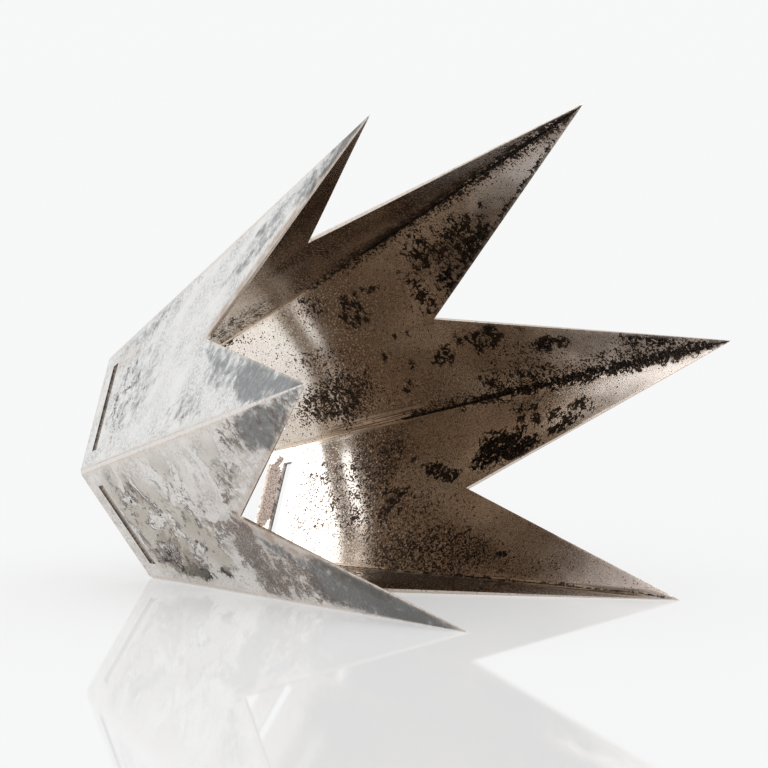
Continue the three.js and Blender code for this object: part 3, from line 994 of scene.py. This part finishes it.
def add_pits(g, p, colour):
    """Fine pits in chains, thinly everywhere inside and dense where the speck layer is high."""
    speck = g.layer("speck")
    speckled = g.band(speck, 0.04, 0.25)
    chain = g.noise(p.flat, 1200, 3, 0.65)
    density = g.most(speck, g.times(p.inner, 0.3))
    density = g.add_scaled(g.from_half(chain), 3.0, density)
    radius = g.times(g.most(density, 0.0), 0.5)
    dots = g.node("TexVoronoi")
    g.feed(dots.inputs["Vector"], p.flat)
    g.feed(dots.inputs["Scale"], 2400)
    nearest = g.calc("ADD", g.from_half(p.grain), dots.outputs["Distance"])
    depth = g.calc("SUBTRACT", radius, nearest)
    pits = g.times(g.band(depth, -0.03, 0.04), g.most(p.inner, speckled))
    halo = g.times(g.band(depth, -0.22, -0.02), speckled, p.inner, 0.45)
    pit_colour = g.mix(g.band(p.cloud, 0.35, 0.65), PIT, CRUST)
    colour = g.mix(halo, colour, HALO)
    return g.mix(g.times(pits, 0.95), colour, pit_colour), pits


def add_lace(g, p, colour):
    """Crisp dark curls that gather into lace."""
    worm = g.layer("worm")
    curl = g.calc("ABSOLUTE", g.from_half(g.noise(p.flat, 820, 3, 0.6, 0.5)))
    depth = g.calc("SUBTRACT", g.times(worm, 0.115), curl)
    gather = g.add_scaled(worm, 0.2, g.noise(p.flat, 450, 4, 0.65))
    there = g.times(g.band(worm, 0.05, 0.3), g.band(gather, 0.6, 0.64))
    lace = g.times(g.band(depth, -0.008, 0.008), there)
    halo = g.times(g.band(depth, -0.04, -0.004), there, p.inner, 0.6)
    colour = g.mix(halo, colour, HALO)
    lace_colour = g.mix(g.band(p.grain, 0.42, 0.58), CRUST, PIT)
    return g.mix(g.times(lace, 0.95), colour, lace_colour), lace


def add_crust(g, p, colour):
    """Thick crust with ragged edges and a few brown crumbs."""
    ragged = g.noise(p.flat, 1100, 5, 0.68, 0.3)
    crust = g.torn_mask(ragged, g.layer("black"), 4.0, 0.46, 0.6)
    return g.mix(crust, colour, g.mix(g.band(p.grain, 0.53, 0.62), CRUST, CRUMB)), crust


def add_flakes(g, p, colour):
    """Pale warm flakes with thin dark lines round them."""
    crack = g.layer("crack")
    flake = g.noise(p.flat, 120, 7, 0.66, 0.8)
    thinner = g.blend(g.band(p.mottle, 0.4, 0.6), 0.9, 0.45)
    colour = g.mix(g.times(g.band(flake, 0.49, 0.53), crack, thinner), colour, FLAKE)
    off_line = g.band(g.calc("ABSOLUTE", g.from_half(flake)), 0.008, 0.034)
    broken = g.band(g.noise(p.flat, 330, 2), 0.4, 0.56)
    line = g.times(g.calc("SUBTRACT", 1.0, off_line), broken, crack)
    return g.mix(g.times(line, 0.92), colour, CRACK)


def add_wear(g, p, colour):
    """Rubbed metal on the cut edges and ridges, and grime with painted shade in the slots."""
    rubbing = g.band(g.noise(p.flat, 900, 4, 0.6), 0.3, 0.62)
    edge = g.layer("edge")
    cut_edge = g.times(g.layer("cut"), g.blend(rubbing, 0.5, 0.95))
    colour = g.mix(g.most(cut_edge, g.times(edge, rubbing, 0.7)), colour, BARE_EDGE)
    crest = g.times(g.band(edge, 0.9, 1.3), g.blend(rubbing, 0.35, 0.85))
    colour = g.mix(crest, colour, BARE_RIDGE)
    dirt_and_shade = g.mix(g.band(p.grain, 0.5, 0.6), SLOT_DIRT_AND_SHADE, GOLD_DIM)
    return g.mix(g.layer("slot_wall_dirt_and_shade"), colour, dirt_and_shade)


def roughness(g, p, lace, crust, pits, bloom, rust):
    """Smooth film inside, mottled metal outside, and both dull under dirt."""
    smooth = g.blend(p.inner, g.blend(p.mottle, 0.26, 0.5), g.blend(p.drift, 0.11, 0.17))
    smooth = g.add_scaled(p.spike_end, 0.13, smooth)
    dirt_and_shade = g.most(lace, crust, g.layer("slot_wall_dirt_and_shade"), g.times(pits, 0.7))
    stain = g.times(g.most(bloom, rust), 0.6)
    dull = g.most(dirt_and_shade, stain, g.times(p.crumbs, 0.65), g.times(g.layer("filed"), 0.8))
    return g.blend(dull, smooth, ROUGH_DIRT)


def surface(g, p, lace, crust, pits):
    """The normal of polish lines and grain, with the pits sunk in and the crust standing out."""
    height = g.add_scaled(crust, 0.25, g.times(p.hairline, 0.05))
    height = g.add_scaled(g.times(g.layer("copper"), p.inner, p.grain), 0.8, height)
    height = g.add_scaled(g.most(pits, lace), -0.1, height)
    bump = g.node("Bump")
    g.feed(bump.inputs["Strength"], BUMP_STRENGTH)
    g.feed(bump.inputs["Distance"], BUMP_DISTANCE)
    g.feed(bump.inputs["Height"], height)
    return bump.outputs["Normal"]


def tarnished_silver(name):
    """Silver under a brown film inside and a grey one outside, with pits, crust and rubbed edges."""
    material = bpy.data.materials.new(name)
    material.use_nodes = True
    shader = material.node_tree.nodes["Principled BSDF"]
    g = Graph(material.node_tree)
    p = Patterns(g)
    colour = add_heavy_film_and_shade(g, p, bare_metal(g, p))
    colour = add_solder(g, p, colour)
    colour, bloom = add_bloom(g, p, colour)
    colour, rust = add_rust(g, p, colour)
    colour, pits = add_pits(g, p, colour)
    colour, lace = add_lace(g, p, colour)
    colour, crust = add_crust(g, p, colour)
    colour = add_wear(g, p, add_flakes(g, p, colour))
    g.feed(shader.inputs["Base Color"], colour)
    g.feed(shader.inputs["Roughness"], roughness(g, p, lace, crust, pits, bloom, rust))
    g.feed(shader.inputs["Normal"], surface(g, p, lace, crust, pits))
    g.feed(shader.inputs["Metallic"], 1.0)
    g.feed(shader.inputs["Anisotropic"], ANISOTROPY)
    tangent = g.node("Tangent", direction_type="UV_MAP", uv_map="panel")
    g.feed(shader.inputs["Tangent"], tangent.outputs["Tangent"])
    return material


# ---- Stage ----

FLOOR_HALF = 30.0
FLOOR_COLOUR = (0.5, 0.5, 0.5)
FLOOR_GLOW = 0.45
FLOOR_GLOSS = 0.22
GLOSS_COLOUR = (0.97, 0.97, 0.97)
GLOSS_ROUGHNESS = 0.035

STUDIO_COLOUR = (0.96, 0.965, 0.97)
SOFTBOX_DIRECTION = Vector((-0.58, -0.51, 0.63)).normalized()
SOFTBOX_DISTANCE = 0.9
SOFTBOX_WIDTH = 0.8
SOFTBOX_DEPTH = 0.6
SOFTBOX_RADIANCE = 2.0

CAMERA_AZIMUTH = math.radians(47.07)
CAMERA_ELEVATION = math.radians(5.05)
CAMERA_ROLL = math.radians(-1.19)
CAMERA_DISTANCE = 0.95
CAMERA_LENS = 228.5
CAMERA_SENSOR = 36
CAMERA_CLIP = 50
AIM_RIGHT = 0.040146  # of the table under the middle of the narrow rim, as the camera sees it
AIM_UP = 0.035518


def white_gloss():
    """Pale matt white with a faint mirror on it, lit a little from within so that it stays white."""
    material = bpy.data.materials.new("white_gloss")
    material.use_nodes = True
    g = Graph(material.node_tree)
    matt = g.node("BsdfDiffuse")
    g.feed(matt.inputs["Color"], FLOOR_COLOUR)
    glow = g.node("Emission")
    g.feed(glow.inputs["Strength"], FLOOR_GLOW)
    body = g.node("AddShader")
    g.feed(body.inputs[0], matt.outputs[0])
    g.feed(body.inputs[1], glow.outputs[0])
    gloss = g.node("BsdfGlossy")
    g.feed(gloss.inputs["Color"], GLOSS_COLOUR)
    g.feed(gloss.inputs["Roughness"], GLOSS_ROUGHNESS)
    both = g.node("MixShader")
    g.feed(both.inputs[0], FLOOR_GLOSS)
    g.feed(both.inputs[1], body.outputs[0])
    g.feed(both.inputs[2], gloss.outputs[0])
    g.feed(material.node_tree.nodes["Material Output"].inputs["Surface"], both.outputs[0])
    return material


def make_floor():
    bm = bmesh.new()
    for x, y in ((-1, -1), (1, -1), (1, 1), (-1, 1)):
        bm.verts.new((x * FLOOR_HALF, y * FLOOR_HALF, 0))
    bm.faces.new(bm.verts)
    floor = add_object("floor", mesh_from(bm, "floor"))
    floor.data.materials.append(white_gloss())


def make_light():
    """An even white studio, with one large softbox up on the side of the narrow end."""
    world = bpy.data.worlds.new("studio")
    bpy.context.scene.world = world
    world.use_nodes = True
    background = world.node_tree.nodes["Background"]
    background.inputs["Color"].default_value = (*STUDIO_COLOUR, 1)
    background.inputs["Strength"].default_value = 1.0
    lamp = bpy.data.lights.new("softbox", "AREA")
    lamp.shape = "RECTANGLE"
    lamp.size = SOFTBOX_WIDTH
    lamp.size_y = SOFTBOX_DEPTH
    lamp.energy = SOFTBOX_RADIANCE * math.pi * lamp.size * lamp.size_y
    softbox = add_object("softbox", lamp)
    softbox.location = SOFTBOX_DIRECTION * SOFTBOX_DISTANCE
    softbox.rotation_mode = "QUATERNION"
    softbox.rotation_quaternion = SOFTBOX_DIRECTION.to_track_quat("Z", "Y")
    softbox.visible_camera = False
    softbox.visible_diffuse = False
    bpy.context.scene.view_settings.view_transform = "Standard"


def make_camera():
    """A long lens, level with the crown, from the side of the open spikes."""
    level = math.cos(CAMERA_ELEVATION)
    across, away = math.sin(CAMERA_AZIMUTH) * level, -math.cos(CAMERA_AZIMUTH) * level
    back = Vector((across, away, math.sin(CAMERA_ELEVATION)))
    right = Vector((math.cos(CAMERA_AZIMUTH), math.sin(CAMERA_AZIMUTH), 0))
    up = back.cross(right)
    turned_right = math.cos(CAMERA_ROLL) * right + math.sin(CAMERA_ROLL) * up
    turned_up = -math.sin(CAMERA_ROLL) * right + math.cos(CAMERA_ROLL) * up
    target = Vector((RIM_CENTRE[0], 0, 0)) + right * AIM_RIGHT + Vector((0, 0, AIM_UP))
    camera = add_object("camera", bpy.data.cameras.new("camera"))
    rotation = Matrix((turned_right, turned_up, back)).transposed()
    camera.matrix_world = Matrix.Translation(target + back * CAMERA_DISTANCE) @ rotation.to_4x4()
    camera.data.lens = CAMERA_LENS
    camera.data.sensor_width = CAMERA_SENSOR
    camera.data.clip_end = CAMERA_CLIP
    bpy.context.scene.camera = camera


silver = tarnished_silver("tarnished_silver")
for number in range(SIDES):
    panel = make_panel(number)
    paint_panel(panel, number)
    panel.data.materials.append(silver)
    seam = make_seam(number)
    paint_seam(seam, number)
    seam.data.materials.append(silver)

make_floor()
make_camera()
make_light()
